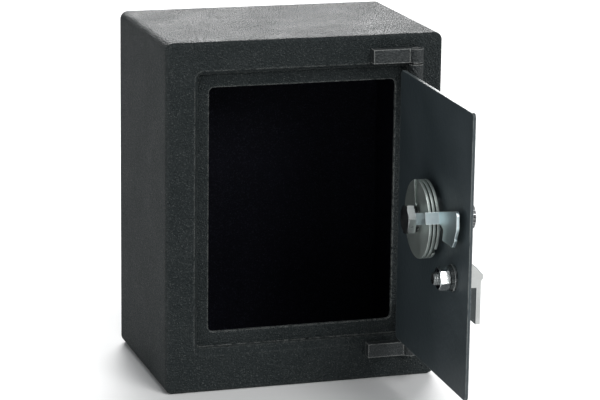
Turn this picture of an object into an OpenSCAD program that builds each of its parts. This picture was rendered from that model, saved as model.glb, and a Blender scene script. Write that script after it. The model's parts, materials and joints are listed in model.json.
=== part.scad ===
// Small steel cash safe: folded casing, front frame with a rebated door, side hinges
// and a coaxial three-ring combination lock that turns a hooked bolt.
// Origin: middle of the casing's underside. +Z up, the door faces -Y. Millimetres.

/* [Casing] */
// Width of the casing
body_w = 140; // [115:1:220]
// Depth of the casing
body_d = 94; // [70:1:200]
// Height of the casing
body_h = 175; // [140:1:280]
// Thickness of the casing's sheet
wall_t = 2; // [1.5:0.25:3]
// Outer radius of the four long edges
edge_r = 4; // [4:0.5:10]
// Thickness of the front plate
front_t = 2; // [1.5:0.25:3]
// Thickness of the back panel
back_t = 2; // [1.5:0.25:3]

/* [Door rebate] */
// Width of the front plate beside the door
side_margin = 16.3; // [14:0.1:22]
// Height of the front plate above the door
top_margin = 16; // [14:0.5:24]
// Height of the front plate below the door
bottom_margin = 22; // [16:0.5:30]
// Depth of the rebate that the door closes into
rebate_d = 4.6; // [4:0.1:7]
// Thickness of the rebate's walls and of its stop ledge
ledge_t = 1.5; // [1:0.1:2]
// Width of the stop ledge at the sides
ledge_side = 6.4; // [4:0.1:8]
// Width of the stop ledge at the top
ledge_top = 7.2; // [4:0.1:9]
// Width of the stop ledge at the bottom
ledge_bottom = 7.5; // [4:0.1:9]
// Corner radius of the rebate, the mouth and the door
corner_r = 2.5; // [1.5:0.25:4]

/* [Door] */
// Thickness of the door plate
door_t = 1.5; // [1.2:0.1:2.5]
// Gap between the door's edges and the rebate, at the sides
gap_side = 0.7; // [0.6:0.1:1.2]
// Gap between the door's edges and the rebate, above and below
gap_end = 0.5; // [0.4:0.1:1]
// Gap between the closed door and the stop ledge
seat_gap = 0.4; // [0.3:0.1:0.8]
// How far the door stands open
door_open = 88.5; // [0:0.5:170]

/* [Hinges] */
// Diameter of the hinge barrels
barrel_d = 7.2; // [6:0.1:9]
// Diameter of the hinge pins
pin_d = 3.5; // [3:0.5:4.5]
// Distance of the hinge axis from the casing's middle line to the right edge
hinge_inset = 15.1; // [14:0.1:18]
// Gap between the barrels and the front plate
barrel_gap = 0.3; // [0.3:0.1:0.8]
// Length of the straps on the front plate, from their end to the hinge axis
strap_l = 22; // [16:0.1:30]
// Height of the straps
strap_h = 7; // [6:0.1:10]
// Thickness of the straps
strap_t = 5; // [4.5:0.1:6.5]
// Distance of the straps from the rebate's top and bottom edges
strap_lift = 2.5; // [1.5:0.1:3.5]
// Height of the door's knuckles
knuckle_h = 20; // [12:0.5:24]
// Height of the leaves on the door
leaf_h = 7.5; // [5:0.5:10]
// Length of the leaves on the door, from their end to the hinge axis
leaf_l = 15; // [12:0.5:24]
// Gap between a strap and a knuckle
knuckle_gap = 0.8; // [0.3:0.1:1]

/* [Lock] */
// Height of the lock's axis above the door's middle
lock_rise = 6.5; // [-10:0.5:20]
// Diameter of the spindle
spindle_d = 8; // [6:0.5:9]
// Wall thickness of each sleeve
sleeve_t = 1.12; // [1:0.01:1.5]
// Wall thickness of the bush
bush_t = 1.5; // [1.2:0.1:2.5]
// Running clearance between the turning parts, on the radius
run_gap = 0.08; // [0.05:0.01:0.1]
// Diameter of the slotted discs
disc_d = 37.6; // [31.3:0.1:39.4]
// Thickness of the slotted discs
disc_t = 1.4; // [1:0.1:1.6]
// Space between one disc and the next
disc_gap = 0.6; // [0.4:0.1:1]
// Height of the rear disc above the door's inner face
disc_lift = 2.6; // [2.4:0.1:4]
// Width of a disc's slot
slot_w = 3; // [2:0.1:4]
// Wall between the rear disc's bore and its slot, which the middle disc's slot matches
slot_wall = 1.17; // [0.8:0.01:5]
// Wall between the front disc's bore and its slot
front_slot_wall = 1.07; // [0.8:0.01:5]

/* [Dial] */
// Diameter of the index flange on the door
flange_d = 35; // [33:0.5:44]
// Thickness of the index flange
flange_t = 1.4; // [1:0.1:2]
// Diameter of the ring nearest to the door
ring_d = 30; // [28:0.5:32]
// How much smaller each next ring is
ring_step = 5; // [3:0.5:5]
// Thickness of each ring
ring_t = 3.2; // [2.5:0.1:5]
// Gap under each ring and under the knob
ring_gap = 0.4; // [0.3:0.1:0.6]
// Diameter of the knob
knob_d = 12.4; // [11:0.1:16]
// Height of the knob
knob_h = 6.1; // [4:0.1:10]

/* [Hook] */
// Thickness of the hook's sheet
hook_t = 1.5; // [1:0.1:2]
// Width of the hook's arm
hook_w = 5.8; // [5:0.1:8]
// How far the turned hook reaches behind the stop ledge
hook_engage = 0.9; // [0.8:0.1:2]
// Space between the raised hook and the mouth's edge
hook_clear = 0.9; // [0.9:0.1:2]
// Upward slope of the raised hook
hook_rest = 14.5; // [13:0.5:25]
// Gap between the front disc and the washer under the hook's arm
cam_gap = 0.3; // [0.3:0.1:0.6]
// Thickness of the washer under the hook's arm
cam_washer_t = 0.5; // [0.5:0.1:1]
// Height of the hooked plate's underside above the door's inner face
plate_lift = 2.65; // [2.4:0.05:4]
// Drop of the hook's lower edge below its arm's middle line
beak_drop = 13.8; // [12:0.1:14.5]
// Width across the flats of the spindle bolt's head
head_af = 13; // [12:0.5:14]
// Height of the spindle bolt's head
head_h = 3.8; // [3:0.1:6]

/* [Handle] */
// Distance of the handle's stud from the mouth's free edge
stud_inset = 15.3; // [9:0.1:20]
// Drop of the handle's stud below the lock's axis
stud_drop = 20.6; // [20:0.1:40]
// Diameter of the handle's stud
stud_d = 6; // [4:0.5:6]
// Length of the stud inside the door
stud_out = 10.2; // [9:0.1:14]
// Diameter of the flat washer
washer_d = 12.8; // [12:0.1:15]
// Thickness of the flat washer
washer_t = 1.2; // [0.8:0.1:1.6]
// Diameter of the lock washer
lock_washer_d = 11; // [10:0.1:12]
// Thickness of the lock washer
lock_washer_t = 1.6; // [1:0.1:2]
// Width of the nut across its flats
nut_af = 10; // [9:0.5:11]
// Height of the nut
nut_h = 5; // [4:0.1:6]
// Width of the handle
handle_w = 12; // [8:0.5:16]
// Height of the handle
handle_l = 31.6; // [26:0.1:44]
// How far the handle stands off the door
handle_out = 11.1; // [9:0.1:14]
// Thickness of the handle's lip
lip_t = 2.4; // [1.8:0.1:3]

/* [Anchoring] */
// Diameter of the anchor holes in the back
anchor_d = 7; // [4:0.5:10]
// Distance of the anchor holes below the top
anchor_below = 30; // [20:1:60]
// Spacing of the anchor holes
anchor_span = 80; // [40:1:90]

/* [Hidden] */
$fn = 96;

paint = "#3a4040";
inside_paint = "#2e3436";
polished = "#c9ccce";
zinc = "#aeb9bd";
dark_steel = "#6b7070";

// Fixed parts of the same body are this far apart on the radius
seat = 0.03;
// Overshoot of a cut past the face it starts from
eps = 1;

// Rebate and mouth, as half widths and heights above the base
rebate_x = body_w / 2 - side_margin;
rebate_z0 = bottom_margin;
rebate_z1 = body_h - top_margin;
mouth_x = rebate_x - ledge_side;
mouth_z0 = rebate_z0 + ledge_bottom;
mouth_z1 = rebate_z1 - ledge_top;
front_y = -body_d / 2;
ledge_y = front_y + rebate_d;

// Closed door
door_x = rebate_x - gap_side;
door_z0 = rebate_z0 + gap_end;
door_z1 = rebate_z1 - gap_end;
door_mid_z = (door_z0 + door_z1) / 2;
door_in_y = ledge_y - seat_gap;
door_out_y = door_in_y - door_t;

// Hinge axis
barrel_r = barrel_d / 2;
hinge_x = body_w / 2 - hinge_inset;
hinge_y = front_y - barrel_gap - barrel_r;
leaf_side_gap = 0.4;
upper_strap_z = rebate_z1 + strap_lift;
lower_strap_z = rebate_z0 - strap_lift - strap_h;
upper_knuckle_z = upper_strap_z - knuckle_gap - knuckle_h;
lower_knuckle_z = lower_strap_z + strap_h + knuckle_gap;
pin_sunk = 0.4;

// Lock: radii from the spindle outwards, heights from the door's inner face
lock_z = door_mid_z + lock_rise;
spindle_r = spindle_d / 2;
function sleeve_in(i) = spindle_r + run_gap + i * (sleeve_t + run_gap);
function sleeve_out(i) = sleeve_in(i) + sleeve_t;
bush_in = sleeve_in(3);
bush_out = bush_in + bush_t;
bush_nut_af = 2 * bush_out + 5;
bush_nut_h = 1.7;
// Sleeve 0 is the innermost: it carries the front disc and the outermost ring
function disc_z(i) = disc_lift + (2 - i) * (disc_t + disc_gap);
function ring_z(i) = -door_t - flange_t - (3 - i) * (ring_gap + ring_t);
function ring_r(i) = ring_d / 2 - (2 - i) * ring_step / 2;
slot_end = sleeve_out(2) + seat + slot_wall;
front_slot_end = sleeve_out(0) + seat + front_slot_wall;
slot_angle = [100, 232, 318];
knob_z = ring_z(0) - ring_gap - knob_h;

// Hook, in the lock's frame with its arm along +x
cam_washer_z = disc_z(0) + disc_t + cam_gap;
cam_washer_r = 6.2;
hub_r = 5.4;
arm_z = cam_washer_z + cam_washer_t;
head_z = arm_z + hook_t;
head_turn = 14;
hook_reach = mouth_x + hook_engage;
bend_x = disc_d / 2 + 0.8;
bend_run = 1.6;
neck_x = bend_x + 7.6;
neck_drop = beak_drop - 8.2;
beak_x = hook_reach - 9.7;
notch_x = hook_reach - 5.7;
notch_drop = beak_drop - 2.9;
lower_x = bend_x + 4.9;
lower_drop = beak_drop - 3.3;

// Handle, in the lock's frame
stud_x = mouth_x - stud_inset;
stud_play = 0.1;
stud_grip = 6;
handle_top = stud_drop - 10;
lip_out = handle_out - 1;
handle_low = handle_top + handle_l;
root_low = stud_drop + 4;
nut_turn = 50;
anchor_z = body_h - anchor_below;

// A rectangle from corner to corner with true round corners
module round_rect(x0, z0, x1, z1, r) {
    translate([x0 + r, z0]) square([x1 - x0 - 2 * r, z1 - z0]);
    translate([x0, z0 + r]) square([x1 - x0, z1 - z0 - 2 * r]);
    for (x = [x0 + r, x1 - r])
        for (z = [z0 + r, z1 - r])
            translate([x, z]) circle(r);
}

// Stands a drawing in the XZ plane up as a plate from y0 to y1
module plate(y0, y1) {
    translate([0, y1, 0]) rotate([90, 0, 0]) linear_extrude(y1 - y0) children();
}

// Turns what is drawn on the closed door to where the door stands
module swing() {
    translate([hinge_x, hinge_y, 0]) rotate([0, 0, door_open]) translate([-hinge_x, -hinge_y, 0]) children();
}

// Lock's frame: x towards the free edge, y up, z into the casing from the door's inner face
module on_lock() {
    swing() translate([0, door_in_y, lock_z]) rotate([90, 0, 180]) children();
}

module on_stud() {
    on_lock() translate([stud_x, -stud_drop, 0]) children();
}

module tube(z0, z1, r_in, r_out) {
    translate([0, 0, z0]) linear_extrude(z1 - z0) difference() {
        circle(r_out);
        circle(r_in);
    }
}

// A six-sided prism with a round hole, measured across its flats
module hex_ring(z0, z1, af, r_in) {
    difference() {
        translate([0, 0, z0]) cylinder(h = z1 - z0, d = af / cos(30), $fn = 6);
        translate([0, 0, z0 - eps]) cylinder(h = z1 - z0 + 2 * eps, r = r_in);
    }
}

module rebate_outline(grow) {
    round_rect(-rebate_x - grow, rebate_z0 - grow, rebate_x + grow, rebate_z1 + grow, corner_r + grow);
}

module mouth_outline() {
    round_rect(-mouth_x, mouth_z0, mouth_x, mouth_z1, corner_r);
}

// ---- Casing ----

module body_wrap() {
    color(paint) plate(front_y + front_t, body_d / 2) difference() {
        round_rect(-body_w / 2, 0, body_w / 2, body_h, edge_r);
        round_rect(wall_t - body_w / 2, wall_t, body_w / 2 - wall_t, body_h - wall_t, edge_r - wall_t);
    }
}

module front_frame() {
    color(paint) {
        plate(front_y, front_y + front_t) difference() {
            round_rect(-body_w / 2, 0, body_w / 2, body_h, edge_r);
            rebate_outline(0);
        }
        plate(front_y + front_t, ledge_y + ledge_t) difference() {
            rebate_outline(ledge_t);
            rebate_outline(0);
        }
        plate(ledge_y, ledge_y + ledge_t) difference() {
            rebate_outline(ledge_t / 2);
            mouth_outline();
        }
    }
}

module back_panel() {
    color(paint) plate(body_d / 2 - back_t, body_d / 2) difference() {
        round_rect(wall_t - body_w / 2, wall_t, body_w / 2 - wall_t, body_h - wall_t, edge_r - wall_t);
        for (x = [-anchor_span / 2, anchor_span / 2])
            translate([x, anchor_z]) circle(d = anchor_d);
    }
}

// ---- Hinges ----

// A strap on the front plate, with its barrel at the hinge axis
module hinge_strap(z0) {
    color(paint) translate([0, 0, z0]) linear_extrude(strap_h) difference() {
        union() {
            translate([hinge_x - strap_l, front_y - strap_t]) square([strap_l, strap_t]);
            translate([hinge_x, hinge_y]) circle(barrel_r);
        }
        translate([hinge_x, hinge_y]) circle(pin_d / 2 + seat);
    }
}

// A knuckle at the hinge axis with a leaf on the door's outer face from z1 up
module hinge_leaf(z0, z1) {
    foot_l = leaf_l - hinge_x + door_x - leaf_side_gap;
    color(paint) swing() difference() {
        union() {
            translate([hinge_x, hinge_y, z0]) cylinder(h = knuckle_h, r = barrel_r);
            translate([hinge_x - leaf_l, hinge_y - barrel_r, z1]) cube([leaf_l, barrel_d, leaf_h]);
            translate([hinge_x - leaf_l, hinge_y, z1]) cube([foot_l, door_out_y - hinge_y, leaf_h]);
        }
        translate([hinge_x, hinge_y, z0 - eps]) cylinder(h = knuckle_h + 2 * eps, r = pin_d / 2 + run_gap);
    }
}

module hinge_pin(z0, z1) {
    color(zinc) translate([hinge_x, hinge_y, z0]) cylinder(h = z1 - z0, d = pin_d);
}

module upper_hinge_strap() {
    hinge_strap(upper_strap_z);
}

module lower_hinge_strap() {
    hinge_strap(lower_strap_z);
}

module upper_hinge_pin() {
    hinge_pin(upper_knuckle_z, upper_strap_z + strap_h - pin_sunk);
}

module lower_hinge_pin() {
    hinge_pin(lower_strap_z + pin_sunk, lower_knuckle_z + knuckle_h);
}

module upper_hinge_leaf() {
    hinge_leaf(upper_knuckle_z, upper_knuckle_z);
}

module lower_hinge_leaf() {
    hinge_leaf(lower_knuckle_z, lower_knuckle_z + knuckle_h - leaf_h);
}

// ---- Door ----

module door_panel() {
    color(inside_paint) swing() plate(door_out_y, door_in_y) difference() {
        round_rect(-door_x, door_z0, door_x, door_z1, corner_r);
        translate([0, lock_z]) circle(bush_out + seat);
        translate([-stud_x, lock_z - stud_drop]) circle(stud_d / 2 + stud_play);
    }
}

// ---- Handle ----

// Wedge-shaped root on the door with a lip that hangs from it
module pull_handle() {
    color(polished) on_lock() difference() {
        translate([stud_x - handle_w / 2, 0, -door_t]) rotate([0, 90, 0]) linear_extrude(handle_w)
            polygon([
                [0, -handle_top],
                [0.25 * handle_out, -handle_top],
                [0.7 * handle_out, -handle_top - 4.2],
                [handle_out, -handle_top - 8],
                [handle_out, -handle_top - 9.5],
                [lip_out, -handle_top - 10.8],
                [lip_out, -handle_low],
                [lip_out - lip_t, -handle_low],
                [lip_out - lip_t, -root_low],
                [0, -root_low]
            ]);
        translate([stud_x, -stud_drop, -door_t - stud_grip]) cylinder(h = stud_grip + eps, d = stud_d + 2 * seat);
    }
}

module handle_stud() {
    color(zinc) on_stud() translate([0, 0, -door_t - stud_grip])
        cylinder(h = stud_grip + door_t + stud_out, d = stud_d);
}

module handle_washer() {
    color(zinc) on_stud() tube(0, washer_t, stud_d / 2 + stud_play, washer_d / 2);
}

module handle_lock_washer() {
    color(zinc) on_stud() tube(washer_t, washer_t + lock_washer_t, stud_d / 2 + stud_play, lock_washer_d / 2);
}

module handle_nut() {
    nut_z = washer_t + lock_washer_t;
    color(zinc) on_stud() rotate(nut_turn) hex_ring(nut_z, nut_z + nut_h, nut_af, stud_d / 2 + seat);
}

// ---- Lock ----

module lock_bush() {
    color(polished) on_lock() {
        tube(-door_t - flange_t, -door_t, bush_in, flange_d / 2);
        tube(-door_t, bush_nut_h, bush_in, bush_out);
    }
}

module bush_nut() {
    color(zinc) on_lock() hex_ring(0, bush_nut_h, bush_nut_af, bush_out + seat);
}

module code_ring(i) {
    color(polished) on_lock() tube(ring_z(i), ring_z(i) + ring_t, sleeve_out(i) + seat, ring_r(i));
}

module code_sleeve(i) {
    color(zinc) on_lock() tube(ring_z(i), disc_z(i) + disc_t, sleeve_in(i), sleeve_out(i));
}

// A disc with a round-ended slot, cut in from its rim to the radius end_r
module code_disc(i, end_r) {
    slot_in = end_r + slot_w / 2;
    color(dark_steel) on_lock() translate([0, 0, disc_z(i)]) linear_extrude(disc_t) difference() {
        circle(disc_d / 2);
        circle(sleeve_out(i) + seat);
        rotate(slot_angle[i]) translate([slot_in, 0]) circle(slot_w / 2);
        rotate(slot_angle[i]) translate([slot_in, -slot_w / 2]) square([disc_d / 2, slot_w]);
    }
}

module outer_code_ring() {
    code_ring(2);
}

module outer_code_sleeve() {
    code_sleeve(2);
}

module rear_code_disc() {
    code_disc(2, slot_end);
}

module middle_code_ring() {
    code_ring(1);
}

module middle_code_sleeve() {
    code_sleeve(1);
}

module middle_code_disc() {
    code_disc(1, slot_end);
}

module inner_code_ring() {
    code_ring(0);
}

module inner_code_sleeve() {
    code_sleeve(0);
}

module front_code_disc() {
    code_disc(0, front_slot_end);
}

module turn_knob() {
    color(polished) on_lock() translate([0, 0, knob_z]) difference() {
        cylinder(h = knob_h, d = knob_d);
        translate([0, 0, knob_h / 2]) cylinder(h = knob_h, r = spindle_r + seat);
    }
}

// The bolt that runs through the lock from the knob to the hook
module spindle_bolt() {
    color(zinc) on_lock() {
        translate([0, 0, knob_z + knob_h / 2]) cylinder(h = head_z - knob_z - knob_h / 2, r = spindle_r);
        translate([0, 0, head_z]) rotate(head_turn) cylinder(h = head_h, d = head_af / cos(30), $fn = 6);
    }
}

module cam_washer() {
    color(zinc) on_lock() tube(cam_washer_z, arm_z, spindle_r + seat, cam_washer_r);
}

// The hooked plate's outline, with its arm along +x
module hook_outline() {
    intersection() {
        polygon([
            [bend_x + bend_run, hook_w / 2],
            [hook_reach + eps, hook_w / 2 - 0.2],
            [hook_reach + eps, -hook_w / 2],
            [hook_reach - 1.8, 8 - beak_drop],
            [notch_x + 0.2, 1 - notch_drop],
            [notch_x, -notch_drop],
            [beak_x, -beak_drop],
            [lower_x, -lower_drop],
            [neck_x, -neck_drop],
            [neck_x - 3.3, 2.3 - neck_drop],
            [bend_x + bend_run, -hook_w / 2]
        ]);
        circle(hook_reach);
        rotate(-hook_rest) translate([0, -hook_reach]) square([mouth_x - hook_clear, 2 * hook_reach]);
    }
}

// The arm's side view: level over the discs, then down to the plate
module hook_side() {
    polygon([
        [0, arm_z],
        [bend_x, arm_z],
        [bend_x + bend_run, plate_lift],
        [neck_x, plate_lift],
        [neck_x, plate_lift + hook_t],
        [bend_x + bend_run + 0.9, plate_lift + hook_t],
        [bend_x + 1.1, arm_z + hook_t],
        [0, arm_z + hook_t]
    ]);
}

module hook_cam() {
    color(zinc) on_lock() rotate(hook_rest) {
        difference() {
            union() {
                translate([0, 0, arm_z]) cylinder(h = hook_t, r = hub_r);
                translate([0, hook_w / 2, 0]) rotate([90, 0, 0]) linear_extrude(hook_w) hook_side();
            }
            translate([0, 0, arm_z - eps]) cylinder(h = hook_t + 2 * eps, r = spindle_r + seat);
        }
        translate([0, 0, plate_lift]) linear_extrude(hook_t) hook_outline();
    }
}

body_wrap();
front_frame();
back_panel();
upper_hinge_strap();
lower_hinge_strap();
upper_hinge_pin();
lower_hinge_pin();
door_panel();
upper_hinge_leaf();
lower_hinge_leaf();
lock_bush();
bush_nut();
pull_handle();
handle_stud();
handle_washer();
handle_lock_washer();
handle_nut();
outer_code_ring();
outer_code_sleeve();
rear_code_disc();
middle_code_ring();
middle_code_sleeve();
middle_code_disc();
inner_code_ring();
inner_code_sleeve();
front_code_disc();
turn_knob();
spindle_bolt();
cam_washer();
hook_cam();
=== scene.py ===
import math
import bpy
import bmesh
from mathutils import Matrix, Vector
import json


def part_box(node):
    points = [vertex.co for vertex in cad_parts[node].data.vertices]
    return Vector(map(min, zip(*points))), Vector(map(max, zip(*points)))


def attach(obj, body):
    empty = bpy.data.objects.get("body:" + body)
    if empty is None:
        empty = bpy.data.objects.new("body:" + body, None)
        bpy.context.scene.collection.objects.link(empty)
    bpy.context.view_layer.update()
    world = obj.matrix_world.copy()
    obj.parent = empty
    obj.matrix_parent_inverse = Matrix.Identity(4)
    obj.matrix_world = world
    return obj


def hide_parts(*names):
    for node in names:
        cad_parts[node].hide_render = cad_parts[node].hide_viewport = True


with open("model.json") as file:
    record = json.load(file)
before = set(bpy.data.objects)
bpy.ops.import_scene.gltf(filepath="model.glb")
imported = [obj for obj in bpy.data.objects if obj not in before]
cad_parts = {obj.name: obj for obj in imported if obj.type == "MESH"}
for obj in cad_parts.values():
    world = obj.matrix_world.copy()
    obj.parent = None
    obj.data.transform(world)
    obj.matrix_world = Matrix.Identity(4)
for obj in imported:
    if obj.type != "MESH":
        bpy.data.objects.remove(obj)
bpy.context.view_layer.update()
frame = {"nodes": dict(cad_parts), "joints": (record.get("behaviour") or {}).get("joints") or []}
scene = bpy.context.scene
scene.view_settings.view_transform = "Standard"
mm = 0.001
joints = {joint["name"]: joint for joint in frame["joints"]}
print("frame loaded:", len(frame["nodes"]), "nodes")


# camera

cameraView = {
    "azimuth": -17.32,  # degrees, negative is to the left of straight on
    "elevation": 13.88,
    "roll": 0.75,
    "distance": 1.3465,
    "target": (0.01234, 0.0, 0.0825),
    "lens": 158.92,
}


def placeCamera(settings):
    turn = math.radians(settings["azimuth"])
    lift = math.radians(settings["elevation"])
    roll = math.radians(settings["roll"])
    back = Vector((math.sin(turn) * math.cos(lift), -math.cos(turn) * math.cos(lift),
                   math.sin(lift)))
    level = Vector((math.cos(turn), math.sin(turn), 0))
    rise = back.cross(level)
    right = level * math.cos(roll) + rise * math.sin(roll)
    up = rise * math.cos(roll) - level * math.sin(roll)
    data = bpy.data.cameras.new("view")
    data.lens = settings["lens"]
    data.sensor_width = 36
    data.clip_end = 50
    camera = bpy.data.objects.new("view", data)
    matrix = Matrix((right, up, back)).transposed().to_4x4()
    matrix.translation = Vector(settings["target"]) + back * settings["distance"]
    camera.matrix_world = matrix
    scene.collection.objects.link(camera)
    scene.camera = camera


placeCamera(cameraView)


# room

room = {
    "floorSize": 14.0,
    "floorColor": (0.93, 0.93, 0.925),
    "worldColor": (0.62, 0.64, 0.66),
    "worldStrength": 0.46,
    # name, place, aim, width, height, power, colour
    "lights": [
        ("backWall", (1.3, 4.2, 1.5), (0, 0, 0.1), 3.0, 2.2, 235, (1.0, 1.0, 1.0)),
        ("overhead", (0.35, -1.5, 2.9), (0, 0, 0), 1.6, 1.5, 34, (1.0, 1.0, 1.0)),
        ("leftWindow", (-3.6, -1.2, 1.2), (0, 0, 0.1), 2.2, 2.0, 5, (1.0, 1.0, 1.0)),
        ("frontFill", (1.0, -3.0, 1.55), (0, 0, 0.1), 1.3, 1.0, 33, (1.0, 1.0, 1.0)),
    ],
}


def makeRoom(settings):
    half = settings["floorSize"] / 2
    mesh = bpy.data.meshes.new("floor")
    corners = [(-half, -half, 0), (half, -half, 0), (half, half, 0), (-half, half, 0)]
    mesh.from_pydata(corners, [], [(0, 1, 2, 3)])
    floor = bpy.data.objects.new("floor", mesh)
    scene.collection.objects.link(floor)
    material = bpy.data.materials.new("paleFloor")
    material.use_nodes = True
    shader = material.node_tree.nodes["Principled BSDF"]
    shader.inputs["Base Color"].default_value = (*settings["floorColor"], 1)
    shader.inputs["Roughness"].default_value = 0.6
    mesh.materials.append(material)
    world = bpy.data.worlds.new("room")
    scene.world = world
    world.use_nodes = True
    background = world.node_tree.nodes["Background"]
    background.inputs["Color"].default_value = (*settings["worldColor"], 1)
    background.inputs["Strength"].default_value = settings["worldStrength"]
    for name, place, aim, width, height, power, color in settings["lights"]:
        data = bpy.data.lights.new(name, "AREA")
        data.shape = "RECTANGLE"
        data.size = width
        data.size_y = height
        data.energy = power
        data.color = color
        light = bpy.data.objects.new(name, data)
        light.location = place
        light.rotation_euler = (Vector(aim) - Vector(place)).to_track_quat("-Z", "Y").to_euler()
        scene.collection.objects.link(light)


makeRoom(room)
print("camera and room ready")


# shader groups

def newGroup(name, inputs, outputs):
    group = bpy.data.node_groups.new(name, "ShaderNodeTree")
    for label, kind, value in inputs:
        socket = group.interface.new_socket(name=label, in_out="INPUT", socket_type=kind)
        socket.default_value = value
    for label, kind in outputs:
        group.interface.new_socket(name=label, in_out="OUTPUT", socket_type=kind)
    return group, group.nodes.new("NodeGroupInput"), group.nodes.new("NodeGroupOutput")


def addNode(tree, kind, **values):
    node = tree.nodes.new(kind)
    for key, value in values.items():
        setattr(node, key, value)
    return node


def joinMath(tree, operation, first, second, third=None):
    node = addNode(tree, "ShaderNodeMath", operation=operation)
    for socket, value in zip(node.inputs, (first, second, third)):
        if value is None:
            continue
        if isinstance(value, (int, float)):
            socket.default_value = value
        else:
            tree.links.new(value, socket)
    return node.outputs[0]


def noiseAt(tree, vector, scale, detail=2.0, roughness=0.5):
    node = addNode(tree, "ShaderNodeTexNoise")
    tree.links.new(vector, node.inputs["Vector"])
    if isinstance(scale, (int, float)):
        node.inputs["Scale"].default_value = scale
    else:
        tree.links.new(scale, node.inputs["Scale"])
    node.inputs["Detail"].default_value = detail
    node.inputs["Roughness"].default_value = roughness
    return node.outputs["Fac"]


def remap(tree, value, low, high, newLow=0.0, newHigh=1.0):
    node = addNode(tree, "ShaderNodeMapRange")
    tree.links.new(value, node.inputs["Value"])
    node.inputs["From Min"].default_value = low
    node.inputs["From Max"].default_value = high
    node.inputs["To Min"].default_value = newLow
    node.inputs["To Max"].default_value = newHigh
    return node.outputs["Result"]


def mixColors(tree, factor, first, second):
    node = addNode(tree, "ShaderNodeMix", data_type="RGBA")
    sockets = (node.inputs["Factor"], node.inputs[6], node.inputs[7])
    for socket, value in zip(sockets, (factor, first, second)):
        if isinstance(value, (int, float)):
            socket.default_value = value
        elif isinstance(value, tuple):
            socket.default_value = (*value, 1)
        else:
            tree.links.new(value, socket)
    return node.outputs[2]


def buildGrainGroup():
    # powder-coat relief: soft pebbles with finer grit on them, in patches
    inputs = [("Pebble Scale", "NodeSocketFloat", 900.0), ("Grit Scale", "NodeSocketFloat", 2600.0),
              ("Patch Scale", "NodeSocketFloat", 60.0)]
    outputs = [("Height", "NodeSocketFloat"), ("Speck", "NodeSocketFloat"),
               ("Patch", "NodeSocketFloat")]
    tree, source, sink = newGroup("coatGrain", inputs, outputs)
    place = addNode(tree, "ShaderNodeTexCoord").outputs["Object"]
    pebble = noiseAt(tree, place, source.outputs["Pebble Scale"], 1.5, 0.45)
    grit = noiseAt(tree, place, source.outputs["Grit Scale"], 2.0, 0.6)
    patch = noiseAt(tree, place, source.outputs["Patch Scale"], 3.0, 0.55)
    raised = joinMath(tree, "MULTIPLY", remap(tree, pebble, 0.3, 0.7), 0.75)
    fine = joinMath(tree, "MULTIPLY", grit, 0.25)
    tree.links.new(joinMath(tree, "ADD", raised, fine), sink.inputs["Height"])
    tree.links.new(remap(tree, grit, 0.56, 0.74), sink.inputs["Speck"])
    tree.links.new(remap(tree, patch, 0.3, 0.7), sink.inputs["Patch"])
    return tree


def buildEdgeGroup():
    # worn edges and painted edge highlights: where a rounded normal leaves the true one, broken up
    # by noise
    inputs = [("Width", "NodeSocketFloat", 0.001), ("Break Scale", "NodeSocketFloat", 300.0),
              ("Break Level", "NodeSocketFloat", 0.42)]
    tree, source, sink = newGroup("edgeWearAndHighlight", inputs, [("Mask", "NodeSocketFloat")])
    rounded = addNode(tree, "ShaderNodeBevel", samples=4)
    tree.links.new(source.outputs["Width"], rounded.inputs["Radius"])
    true = addNode(tree, "ShaderNodeNewGeometry").outputs["Normal"]
    match = addNode(tree, "ShaderNodeVectorMath", operation="DOT_PRODUCT")
    tree.links.new(rounded.outputs["Normal"], match.inputs[0])
    tree.links.new(true, match.inputs[1])
    edge = remap(tree, match.outputs["Value"], 0.995, 0.90)
    place = addNode(tree, "ShaderNodeTexCoord").outputs["Object"]
    breaks = noiseAt(tree, place, source.outputs["Break Scale"], 3.0, 0.6)
    above = joinMath(tree, "SUBTRACT", breaks, source.outputs["Break Level"])
    broken = remap(tree, above, 0.0, 0.2)
    tree.links.new(joinMath(tree, "MULTIPLY", edge, broken), sink.inputs["Mask"])
    return tree


def buildScratchGroup():
    # fine scratches: noise stretched along one direction, kept to its peaks
    inputs = [("Stretch", "NodeSocketVector", (1.0, 1.0, 1.0)),
              ("Turn", "NodeSocketVector", (0.0, 0.0, 0.0)),
              ("Scale", "NodeSocketFloat", 400.0)]
    outputs = [("Lines", "NodeSocketFloat"), ("Smudge", "NodeSocketFloat")]
    tree, source, sink = newGroup("fineScratches", inputs, outputs)
    place = addNode(tree, "ShaderNodeTexCoord").outputs["Object"]
    mapping = addNode(tree, "ShaderNodeMapping")
    tree.links.new(place, mapping.inputs["Vector"])
    tree.links.new(source.outputs["Stretch"], mapping.inputs["Scale"])
    tree.links.new(source.outputs["Turn"], mapping.inputs["Rotation"])
    lines = noiseAt(tree, mapping.outputs["Vector"], source.outputs["Scale"], 4.0, 0.7)
    smudge = noiseAt(tree, place, 70.0, 3.0, 0.6)
    tree.links.new(remap(tree, lines, 0.35, 0.7), sink.inputs["Lines"])
    tree.links.new(remap(tree, smudge, 0.35, 0.65), sink.inputs["Smudge"])
    return tree


grainGroup = buildGrainGroup()
edgeGroup = buildEdgeGroup()
scratchGroup = buildScratchGroup()


def useGroup(tree, group, **values):
    node = addNode(tree, "ShaderNodeGroup", node_tree=group)
    for key, value in values.items():
        node.inputs[key.replace("_", " ")].default_value = value
    return node.outputs


def startMaterial(name):
    material = bpy.data.materials.new(name)
    material.use_nodes = True
    tree = material.node_tree
    return material, tree, tree.nodes["Principled BSDF"]


def addBump(tree, shader, height, strength, distance):
    bump = addNode(tree, "ShaderNodeBump")
    bump.inputs["Strength"].default_value = strength
    bump.inputs["Distance"].default_value = distance
    tree.links.new(height, bump.inputs["Height"])
    tree.links.new(bump.outputs["Normal"], shader.inputs["Normal"])


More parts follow.
